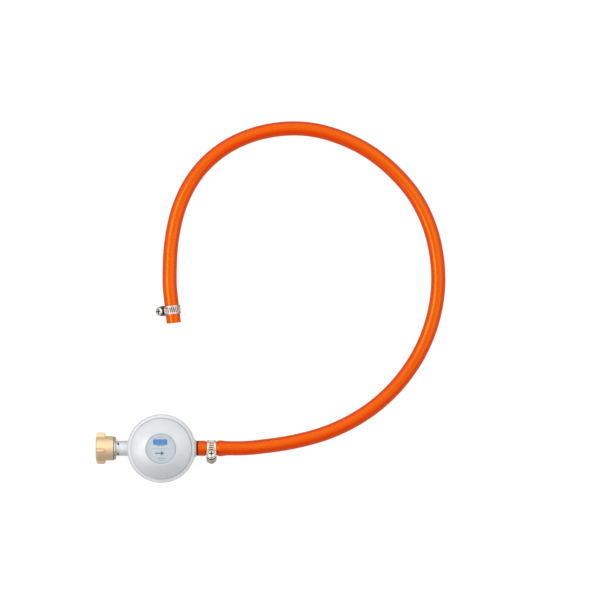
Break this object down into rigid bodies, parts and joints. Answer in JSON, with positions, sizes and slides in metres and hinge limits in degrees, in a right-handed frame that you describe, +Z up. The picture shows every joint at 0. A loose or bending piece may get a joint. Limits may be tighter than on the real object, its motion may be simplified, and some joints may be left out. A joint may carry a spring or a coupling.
{
  "type": "propane regulator hose",
  "caption": "Low pressure disc gas regulator with a brass union nut, a length of orange rubber gas hose and two worm-drive hose clamps",
  "frame": {"origin": "centre of the regulator's flat round base, on the surface that the part lies on", "axes": "+X along the gas line from the inlet nut to the hose nozzle, +Z up from the base through the cover's dome, +Y towards the hose's loop"},
  "size_m": [0.3651, 0.3767, 0.041],
  "materials": {
    "zinc_casting": "satin",
    "label": "satin",
    "brass": "satin",
    "brass_inner": "satin",
    "plated_steel": "satin",
    "spring_steel": "satin",
    "clamp_steel": "gloss",
    "screw_steel": "gloss",
    "black_rubber": "matte",
    "hose_rubber": "satin"
  },
  "bodies": {
    "regulator": {"body": "zinc_casting", "cover": "zinc_casting", "label_disc": "label", "adjusting_screw": "brass_inner", "main_spring": "spring_steel", "diaphragm": "black_rubber", "lever_pin": "spring_steel", "valve_seat": "brass_inner", "inlet_nipple": "plated_steel", "inlet_filter": "brass_inner", "inlet_seal": "black_rubber", "hose_nozzle": "brass_inner", "gas_hose": "hose_rubber", "near_clamp_band": "clamp_steel", "near_clamp_housing": "clamp_steel", "far_clamp_band": "clamp_steel", "far_clamp_housing": "clamp_steel"},
    "union_nut": {"inlet_nut": "brass"},
    "diaphragm_stack": {"diaphragm_plate": "plated_steel", "diaphragm_stem": "brass_inner", "stem_nut": "plated_steel"},
    "valve_lever": {"lever": "plated_steel"},
    "poppet": {"valve_poppet": "brass_inner", "valve_pad": "black_rubber"},
    "near_screw": {"near_clamp_screw": "screw_steel"},
    "far_screw": {"far_clamp_screw": "screw_steel"}
  },
  "joints": [
    {"name": "union_nut_turn", "type": "hinge", "parent": "regulator", "child": "union_nut", "pos_m": [-0.0579, 0, 0.017], "axis": [1, 0, 0], "continuous": true},
    {"name": "diaphragm_lift", "type": "slide", "parent": "regulator", "child": "diaphragm_stack", "axis": [0, 0, 1], "range_m": [0, 0.0022], "stiffness_N_per_m": 1500, "springref_m": -0.004, "deforming": ["main_spring", "diaphragm"]},
    {"name": "lever_turn", "type": "hinge", "parent": "regulator", "child": "valve_lever", "pos_m": [-0.016, 0, 0.01], "axis": [0, -1, 0], "range_deg": [0, 8]},
    {"name": "poppet_slide", "type": "slide", "parent": "regulator", "child": "poppet", "axis": [-1, 0, 0], "range_m": [0, 0.001]},
    {"name": "near_screw_turn", "type": "hinge", "parent": "regulator", "child": "near_screw", "pos_m": [0.0523, -0.0093, 0.02376], "axis": [0, 0.5878, 0.809], "continuous": true},
    {"name": "far_screw_turn", "type": "hinge", "parent": "regulator", "child": "far_screw", "pos_m": [0.00217, 0.14365, 0.00768], "axis": [-0.6384, -0.075, 0.766], "continuous": true}
  ],
  "couplings": [
    {"joint": "lever_turn", "follows": "diaphragm_lift", "rad_per_m": 62.5},
    {"joint": "poppet_slide", "follows": "diaphragm_lift", "ratio": 0.4375}
  ]
}
